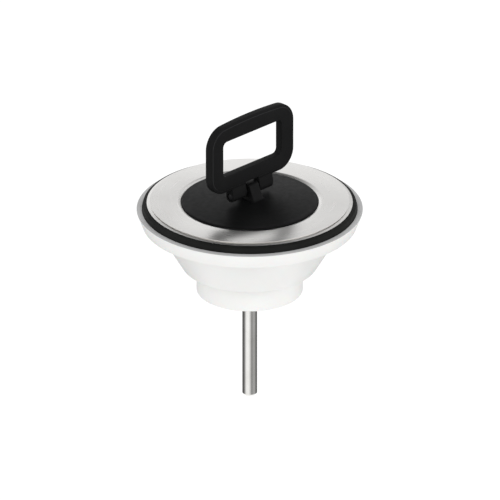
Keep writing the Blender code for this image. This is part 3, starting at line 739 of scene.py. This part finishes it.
def makeNut():
    # A hexagonal bar, its corners turned off by a lathe's outline, then bored
    corner = screw["nutFlats"] / 2 / math.cos(math.pi / 6)
    top, foot, cut = screw["nutTop"], screw["nutFoot"], screw["nutChamfer"]
    piece = rod("clampNut", corner, foot, top, around=6)
    flat, beyond = screw["nutFlats"] / 2 - 0.1, corner + 0.4
    lathe = turned("nutLathe", [
        (0.5, top), (flat, top), (beyond, top - cut),
        (beyond, foot + cut), (flat, foot), (0.5, foot),
    ], closed=False, around=96)
    capEnds(lathe)
    combine(piece, lathe, "INTERSECT")
    radius, mouth, cut = screw["nutBore"], screw["boreMouth"], screw["boreChamfer"]
    bore = turned("nutBore", [
        (0.5, top + 1), (mouth + 0.3, top + 1), (mouth, top + 0.001), (radius, top - cut),
        (radius, foot + cut), (mouth, foot - 0.001), (mouth + 0.3, foot - 1), (0.5, foot - 1),
    ], closed=False, around=64)
    capEnds(bore)
    combine(piece, bore, "DIFFERENCE")
    finished(piece, brass, "housing", "clamp_nut")


makeScrew()
makeNut()
print("screw and nut machined")


# Plug: crowned cap with its hinge post, seal, retainer and screw

plug = {
    "radius": 37.4, "edge": 0.8, "rimTop": 4.15, "rimEase": 0.12, "crown": 2.3, "crownSteps": 24,
    "rimFoot": 2.25, "rimWidth": 6.0, "wall": 2.2, "hollowSteps": 6,
    "bossRadius": 7.5, "bossFoot": 0.15,
    "sealRadius": 36.8, "sealTop": 1.95, "sealFoot": 0.15, "sealGap": 0.3,
    "beadWidth": 2.2, "beadDrop": 0.6, "seatSlope": 0.278,
    "retainerRadius": 29.0, "retainerTop": -0.15, "retainerFoot": -2.35,
    "grooveInner": 1.2, "grooveOuter": 4.5, "grooveSlope": 0.4, "grooveDepth": 0.5,
    "pilot": 1.9, "screwRadius": 1.6, "screwHead": 3.2, "screwTip": 7.45, "screwPoint": 1.2,
    "screwSlotLength": 4.4, "screwSlotWidth": 0.8, "screwSlotDepth": 0.8,
}
hinge = {
    "height": 10.85, "pinRadius": 1.7, "pinEnd": 15.0, "pinEdge": 0.45, "pinHole": 2.0,
    "holeSpare": 2,
    "postWidth": 7.0, "postTop": 15.45, "postTopHalf": 3.0, "postWaist": 7.35, "postWaistHalf": 6.5,
    "postFoot": 6.35, "postFootHalf": 7.4, "postFlare": 0.6, "postBend": 0.4, "postBendHalf": 0.25,
    "postSink": 1.2, "postBase": 0.3, "postTopRound": 1.4, "postEdge": 0.35,
}


def crownHeight(radius):
    run = plug["radius"] - plug["edge"]
    return plug["rimTop"] + plug["crown"] * (1 - (radius / run) ** 2)


def makePost():
    # Grown upwards from a base sunk in the crown: flare, waist, then the long wedge
    foot, base = hinge["postFoot"] - hinge["postSink"], hinge["postBase"]
    width, flare, top = hinge["postWidth"] / 2, hinge["postFlare"], hinge["postTop"]
    waist, waistHalf = hinge["postWaist"], hinge["postWaistHalf"]
    last = (foot + base, hinge["postFootHalf"] + base, width + flare)
    piece = block("hingePost", (2 * last[2], 2 * last[1], 2 * base), (0, 0, foot))
    pick(piece, "FACE", lambda face: face.normal.z > 0.9)
    for height, half, across in (
        (hinge["postFoot"], hinge["postFootHalf"], width + flare),
        (waist - hinge["postBend"], waistHalf + hinge["postBendHalf"], width + flare / 3),
        (waist, waistHalf, width), (top, hinge["postTopHalf"], width),
    ):
        extrudeOn((height - last[0]) * mm, (across / last[2], half / last[1], 1))
        last = (height, half, across)
    leaveEdit()
    softenEdges(piece, hinge["postTopRound"] * mm, 6, lambda edge: isSharp(edge, 20) and all(
        vertex.co.z > top * mm - near for vertex in edge.verts
    ) and abs(edge.verts[0].co.y - edge.verts[1].co.y) < near)
    softenEdges(piece, hinge["postEdge"] * mm, 3, lambda edge: isSharp(edge, 60) and all(
        vertex.co.z > foot * mm for vertex in edge.verts
    ))
    return piece


def makePlugCap():
    crownRun, steps = plug["radius"] - plug["edge"], plug["crownSteps"]
    crown = []
    for step in range(1, steps):
        radius = crownRun * step / steps
        crown.append((radius, crownHeight(radius)))
    inner, boss, wall = plug["radius"] - plug["rimWidth"], plug["bossRadius"], plug["wall"]
    steps = plug["hollowSteps"]
    hollow = []
    for step in range(1, steps):
        radius = inner + (boss - inner) * step / steps
        hollow.append((radius, crownHeight(radius) - wall))
    outline = crown + [
        (plug["radius"], plug["rimTop"] + plug["rimEase"], plug["edge"]),
        (plug["radius"], plug["rimFoot"], 0.3),
        (inner, plug["rimFoot"], 0.3),
        (inner, crownHeight(inner) - wall, 0.4),
    ] + hollow + [
        (boss, crownHeight(boss) - wall, 0.6),
        (boss, plug["bossFoot"], 0.3),
        (0.4, plug["bossFoot"]),
    ]
    piece = turned("plugCap", outline, closed=False, around=160)
    capEnds(piece)
    combine(piece, makePost(), "UNION")
    end = hinge["postWidth"] / 2 + hinge["holeSpare"]
    hole = rod("postHole", hinge["pinHole"], -end, end, "X", 48, (0, hinge["height"]))
    combine(piece, hole, "DIFFERENCE")
    pilot = rod("pilotHole", plug["pilot"], plug["bossFoot"] - 2, plug["screwTip"] + 0.3, around=32)
    combine(piece, pilot, "DIFFERENCE")
    finished(piece, blackPlastic, "plug", "plug_cap", 28)


def makePlugUnderside():
    bead, beadDrop = plug["sealRadius"] - plug["beadWidth"], plug["beadDrop"]
    top, foot, inner = plug["sealTop"], plug["sealFoot"], plug["bossRadius"] + plug["sealGap"]
    seal = turned("plugSeal", [
        (plug["sealRadius"], top, 0.3),
        (plug["sealRadius"], foot - beadDrop, 0.25),
        (bead, foot - beadDrop - plug["seatSlope"] * plug["beadWidth"], 0.35),
        (bead - beadDrop, foot, 0.3), (inner, foot), (inner, top),
    ])
    finished(seal, rubber, "plug", "plug_seal")
    top, foot = plug["retainerTop"], plug["retainerFoot"]
    head, radius = plug["screwHead"], plug["screwRadius"]
    sink, deep, slope = foot + head - radius, foot + plug["grooveDepth"], plug["grooveSlope"]
    grooveInner, grooveOuter = head + plug["grooveInner"], head + plug["grooveOuter"]
    retainer = turned("sealRetainer", [
        (plug["retainerRadius"], top, 0.2), (plug["retainerRadius"], foot, 0.7),
        (grooveOuter, foot, 0.4), (grooveOuter - slope, deep, 0.3),
        (grooveInner + slope, deep, 0.3), (grooveInner, foot, 0.3),
        (head + 0.3, foot, 0.1), (plug["pilot"], sink), (plug["pilot"], top),
    ])
    finished(retainer, blackPlastic, "plug", "seal_retainer")
    tip, length, width = plug["screwTip"], plug["screwSlotLength"], plug["screwSlotWidth"]
    piece = turned("retainerScrew", [
        (0.3, tip), (0.7, tip, 0.2), (radius, tip - plug["screwPoint"], 0.3), (radius, sink),
        (head, foot + 0.02, 0.1), (head - 0.4, foot), (0.3, foot),
    ], closed=False, around=64)
    capEnds(piece)
    for size in ((length, width, 2), (width, length, 2)):
        slot = block("crossSlot", size, (0, 0, foot + plug["screwSlotDepth"] - 1))
        combine(piece, slot, "DIFFERENCE")
    finished(piece, screwSteel, "plug", "retainer_screw")


makePlugCap()
makePlugUnderside()
print("plug moulded")


# Folding handle and its pin

handle = {
    "width": 63.9, "height": 40.1, "sideBar": 9.7, "lowerBar": 9.15, "upperBar": 9.6, "reach": 5.05,
    "rimThick": 4.2, "rimWidth": 1.5, "plateRise": 0.3, "plateSlope": 0.3, "edge": 0.6,
    "arch": 0.85, "archCuts": 23, "corner": 10.8, "cornerSteps": 16,
    "windowCorner": 2.7, "cornerSpare": 0.5, "windowSpare": 0.1,
    "notchHalf": 4.9, "notchDepth": 1.75,
    "earRadius": 3.0, "earStart": 5.2, "earLength": 10.1, "earEdge": 0.45, "earTopInset": 0.15,
    "earBite": 1.0, "earEdgeStop": 0.5,
}


def makeEar(side):
    # A barrel about the pin whose upper half is drawn up, narrowing, into the lower bar
    start, barFoot = handle["earStart"], hinge["height"] + handle["reach"]
    ends = sorted((side * start, side * (start + handle["earLength"])))
    piece = rod("ear", handle["earRadius"], ends[0], ends[1], "X", 64, (0, hinge["height"]))
    editAll(piece)
    narrow = (handle["rimThick"] / 2 - handle["earTopInset"]) / handle["earRadius"]
    form = bmesh.from_edit_mesh(piece.data)
    for vertex in form.verts:
        if vertex.co.z > hinge["height"] * mm + near:
            vertex.co.z = (barFoot + handle["earBite"]) * mm
            vertex.co.y *= narrow
    bmesh.update_edit_mesh(piece.data)
    leaveEdit()
    softenEdges(piece, handle["earEdge"] * mm, 3, lambda edge: isSharp(edge, 70) and all(
        vertex.co.z < (barFoot - handle["earEdgeStop"]) * mm for vertex in edge.verts
    ))
    return piece


def makeLoopFace(middle):
    # The front's rim and the slope to its raised plate, left in edit mode, the plate selected
    selectNothing()
    bpy.ops.mesh.primitive_plane_add(
        size=1, location=(0, -handle["rimThick"] / 2 * mm, middle), rotation=(math.pi / 2, 0, 0),
    )
    bpy.ops.transform.resize(value=(handle["width"] * mm, 1, handle["height"] * mm))
    piece = added("handleLoop")
    editAll(piece)
    bpy.ops.mesh.bevel(
        offset=handle["corner"] * mm, segments=handle["cornerSteps"], affect="VERTICES"
    )
    leaveEdit()
    pick(piece, "EDGE", lambda edge: edge.calc_length() > handle["corner"] * mm
         and edge.verts[0].co.z > middle
         and abs(edge.verts[0].co.z - edge.verts[1].co.z) < near)
    bpy.ops.mesh.subdivide(number_cuts=handle["archCuts"])
    bpy.ops.mesh.select_mode(type="FACE")
    bpy.ops.mesh.select_all(action="SELECT")
    bpy.ops.mesh.inset(thickness=handle["rimWidth"] * mm)
    bpy.ops.mesh.inset(thickness=handle["plateSlope"] * mm)
    bpy.ops.transform.translate(value=(0, -handle["plateRise"] * mm, 0))
    return piece


def cutWindow(piece, middle):
    # The plate's face is inset to the window, whose tight corners are rounded afresh
    plate = handle["sideBar"] - handle["rimWidth"] - handle["plateSlope"]
    bpy.ops.mesh.inset(thickness=plate * mm)
    tight = handle["corner"] - handle["sideBar"]
    wider, shift = handle["windowCorner"] / tight, (handle["windowCorner"] - tight) * mm
    centreX = (handle["width"] / 2 - handle["corner"]) * mm
    centreZ = (handle["height"] / 2 - handle["corner"]) * mm
    form = bmesh.from_edit_mesh(piece.data)
    for vertex in form.verts:
        outX, outZ = abs(vertex.co.x) - centreX, abs(vertex.co.z - middle) - centreZ
        if vertex.select and min(outX, outZ) > -handle["cornerSpare"] * mm:
            across = centreX - shift + max(0, outX) * wider
            up = centreZ - shift + max(0, outZ) * wider
            vertex.co.x = math.copysign(across, vertex.co.x)
            vertex.co.z = middle + math.copysign(up, vertex.co.z - middle)
    bmesh.update_edit_mesh(piece.data)
    bpy.ops.transform.translate(value=(0, 0, (handle["lowerBar"] - handle["upperBar"]) / 2 * mm))
    bpy.ops.mesh.delete(type="FACE")


def bowTop(piece, low, middle):
    # The upper bar falls off from its middle as an arch, then straight on past the bends
    arch, bend = handle["arch"] * mm, (handle["width"] / 2 - handle["corner"]) * mm
    windowHalf = (handle["width"] / 2 - handle["sideBar"] + handle["windowSpare"]) * mm
    windowTop = (low + handle["height"] - handle["upperBar"] + handle["windowSpare"]) * mm
    form = bmesh.from_edit_mesh(piece.data)
    for vertex in form.verts:
        across = abs(vertex.co.x)
        if vertex.co.z > middle and (across > windowHalf or vertex.co.z > windowTop):
            bow = arch * (min(across, bend) / bend) ** 2
            bow += 2 * arch / bend * max(0, across - bend)
            vertex.co.z -= bow
    bmesh.update_edit_mesh(piece.data)


def makeHandle():
    # The front half, mirrored to the back, then notched over the post and given its ears
    low, thick = hinge["height"] + handle["reach"], handle["rimThick"]
    middle = (low + handle["height"] / 2) * mm
    piece = makeLoopFace(middle)
    cutWindow(piece, middle)
    bowTop(piece, low, middle)
    pick(piece, "EDGE", lambda edge: edge.is_boundary)
    bpy.ops.mesh.extrude_region_move(TRANSFORM_OT_translate={"value": (0, thick * mm, 0)})
    leaveEdit()
    for vertex in piece.data.vertices:
        vertex.co.y = min(vertex.co.y, 0)
    applyModifier(piece, "MIRROR", use_axis=(False, True, False), merge_threshold=weld)
    closeUp(piece)
    softenEdges(piece, handle["edge"] * mm, 4, lambda edge: isSharp(edge, 60))
    size = (2 * handle["notchHalf"], 3 * thick, 2 * handle["notchDepth"])
    combine(piece, block("barNotch", size, (0, 0, low)), "DIFFERENCE")
    for side in (-1, 1):
        combine(piece, makeEar(side), "UNION")
    end = hinge["pinEnd"] + hinge["holeSpare"]
    hole = rod("earHoles", hinge["pinHole"], -end, end, "X", 48, (0, hinge["height"]))
    combine(piece, hole, "DIFFERENCE")
    finished(piece, handlePlastic, "handle", "handle_loop", 28)


def makePin():
    end = hinge["pinEnd"]
    piece = rod("hingePin", hinge["pinRadius"], -end, end, "X", 48, (0, hinge["height"]))
    softenEdges(piece, hinge["pinEdge"] * mm, 4, lambda edge: isSharp(edge, 60))
    finished(piece, pinPlastic, "handle", "hinge_pin")


makeHandle()
makePin()
print("handle and pin made")


# Studio

studio = {
    "floor": -0.20, "floorWidth": 5.0, "floorBounce": 0.82, "floorShade": 0.3, "floorGlow": 0.75,
    "worldLevel": 0.96, "roomLevel": 1.0, "eyeLevel": 1.0,
    "ceilingStart": 33, "ceilingFull": 48, "ceilingLevel": 0.06,
}
view = {
    "azimuth": 315, "elevation": 25.2, "distance": 6.0, "aimHeight": -0.02583, "aimRight": 0.00016,
    "lens": 790.6, "sensor": 36, "clipStart": 0.05, "clipEnd": 50,
}
# Lamps: degrees right of the camera, height in degrees, distance, width and power
lamps = {
    "keyLamp": (-30, 35, 1.8, 1.0, 5.0),
    "fillLamp": (60, 20, 1.8, 1.0, 5.0),
    "rearRightLamp": (149, 50, 1.6, 0.5, 0.8),
    "rearLeftLamp": (-160, 15, 1.6, 0.4, 0.2),
}
# A dark screen that only mirrors see, placed as the lamps are
screen = {"right": 160, "height": 17, "distance": 1.6, "width": 0.4, "level": 0.15}
# What the bright screw mirrors: levels round the room, in degrees to the right of the camera
roomRing = {
    "inner": 0.12, "outer": 0.5, "height": -0.195,
    "levels": (
        (-98, 0.12), (-52, 1.0), (-12, 1.0), (30, 0.26), (68, 0.42), (92, 0.36), (118, 0.12),
    ),
}


def towards(azimuth, elevation):
    around, up = math.radians(azimuth), math.radians(elevation)
    return Vector((math.sin(around) * math.cos(up), -math.cos(around) * math.cos(up), math.sin(up)))


def grey(level):
    return (level, level, level, 1)


def stagePaint(piece, name):
    paint = bpy.data.materials.new(name)
    paint.use_nodes = True
    paint.node_tree.nodes.clear()
    piece.data.materials.append(paint)
    return paint


def showThrough(paint, shader):
    addNode(paint, "ShaderNodeOutputMaterial", {0: shader.outputs[0]})


def forMirrorsOnly(piece):
    piece.visible_camera = False
    piece.visible_diffuse = False
    piece.visible_transmission = False
    piece.visible_shadow = False


def makeFloor():
    # Eyes and mirrors see a pale floor; other light meets a matt one
    selectNothing()
    bpy.ops.mesh.primitive_plane_add(size=studio["floorWidth"], location=(0, 0, studio["floor"]))
    floor = bpy.context.object
    floor.name = "floor"
    paint = stagePaint(floor, "paleFloor")
    matt = addNode(paint, "ShaderNodeBsdfDiffuse", {"Color": grey(studio["floorBounce"])})
    shade = addNode(paint, "ShaderNodeBsdfDiffuse", {"Color": grey(studio["floorShade"])})
    glow = addNode(paint, "ShaderNodeEmission", {"Color": grey(studio["floorGlow"])})
    pale = addNode(paint, "ShaderNodeAddShader", {0: shade.outputs[0], 1: glow.outputs[0]})
    rays = addNode(paint, "ShaderNodeLightPath", {}).outputs
    seen = calculated(paint, "MAXIMUM", rays["Is Glossy Ray"], rays["Is Transmission Ray"])
    seen = calculated(paint, "MAXIMUM", rays["Is Camera Ray"], seen)
    showThrough(paint, addNode(paint, "ShaderNodeMixShader", {
        0: seen, 1: matt.outputs[0], 2: pale.outputs[0],
    }))


def makeWorld():
    # Plain light all round; mirrors see a white room with a dark ceiling
    world = bpy.data.worlds.new("paleRoom")
    bpy.context.scene.world = world
    world.use_nodes = True
    world.cycles.sampling_method = "NONE"
    place = addNode(world, "ShaderNodeTexCoord", {}).outputs["Generated"]
    height = addNode(world, "ShaderNodeSeparateXYZ", {0: place}).outputs["Z"]
    start, full = [math.sin(math.radians(studio[key])) for key in ("ceilingStart", "ceilingFull")]
    ceiling = spread(world, height, studio["roomLevel"], studio["ceilingLevel"], start, full)
    rays = addNode(world, "ShaderNodeLightPath", {}).outputs
    forGloss = addNode(world, "ShaderNodeMix", {
        "Factor": rays["Is Glossy Ray"], "A": studio["worldLevel"], "B": ceiling,
    })
    forEye = addNode(world, "ShaderNodeMix", {
        "Factor": rays["Is Camera Ray"], "A": forGloss.outputs[0], "B": studio["eyeLevel"],
    })
    background = world.node_tree.nodes["Background"]
    background.inputs["Color"].default_value = grey(1)
    feed(world, background, "Strength", forEye.outputs[0])


def makeRoomRing():
    # A flat ring just above the floor, seen by mirrors alone, dark and light round the room
    selectNothing()
    bpy.ops.mesh.primitive_circle_add(
        vertices=96, radius=roomRing["inner"], location=(0, 0, roomRing["height"])
    )
    ring = added("roomRing")
    editAll(ring)
    grow = roomRing["outer"] / roomRing["inner"]
    extrudeOn(0, (grow, grow, 1))
    leaveEdit()
    paint = stagePaint(ring, "roomLevels")
    # Half a turn from the camera to the ramp's ends
    turn = addNode(paint, "ShaderNodeMapping", {
        "Vector": objectPlace(paint), "Rotation": (0, 0, math.radians(90 - view["azimuth"])),
    })
    sweep = addNode(paint, "ShaderNodeTexGradient", {0: turn.outputs[0]}, gradient_type="RADIAL")
    ramp = addNode(paint, "ShaderNodeValToRGB", {0: sweep.outputs[0]})
    elements = ramp.color_ramp.elements
    while len(elements) < len(roomRing["levels"]):
        elements.new(0.5)
    for element, (degrees, level) in zip(elements, roomRing["levels"]):
        element.position = 0.5 + degrees / 360
        element.color = grey(level)
    showThrough(paint, addNode(paint, "ShaderNodeEmission", {"Color": ramp.outputs[0]}))
    forMirrorsOnly(ring)


def makeScreen():
    selectNothing()
    way = towards(view["azimuth"] + screen["right"], screen["height"])
    bpy.ops.mesh.primitive_plane_add(size=screen["width"], location=way * screen["distance"])
    card = bpy.context.object
    card.name = "darkScreen"
    card.rotation_euler = way.to_track_quat("Z", "Y").to_euler()
    paint = stagePaint(card, "screenPaint")
    showThrough(paint, addNode(paint, "ShaderNodeEmission", {"Color": grey(screen["level"])}))
    forMirrorsOnly(card)


def addLamp(name, rightOfCamera, elevation, distance, size, power):
    selectNothing()
    way = towards(view["azimuth"] + rightOfCamera, elevation)
    bpy.ops.object.light_add(type="AREA", location=way * distance)
    lamp = bpy.context.object
    lamp.name = name
    lamp.data.shape = "SQUARE"
    lamp.data.size = size
    lamp.data.energy = power
    lamp.rotation_euler = way.to_track_quat("Z", "Y").to_euler()
    lamp.visible_camera = False


def makeCamera():
    selectNothing()
    back = towards(view["azimuth"], view["elevation"])
    right = towards(view["azimuth"] + 90, 0)
    aim = Vector((0, 0, view["aimHeight"])) + right * view["aimRight"]
    bpy.ops.object.camera_add(location=aim + back * view["distance"])
    camera = bpy.context.object
    camera.rotation_euler = back.to_track_quat("Z", "Y").to_euler()
    camera.data.sensor_width, camera.data.lens = view["sensor"], view["lens"]
    camera.data.clip_start, camera.data.clip_end = view["clipStart"], view["clipEnd"]
    bpy.context.scene.camera = camera


makeFloor()
makeWorld()
makeRoomRing()
makeScreen()
for name, values in lamps.items():
    addLamp(name, *values)
makeCamera()
bpy.context.scene.view_settings.view_transform = "Standard"
selectNothing()
print("studio set up")
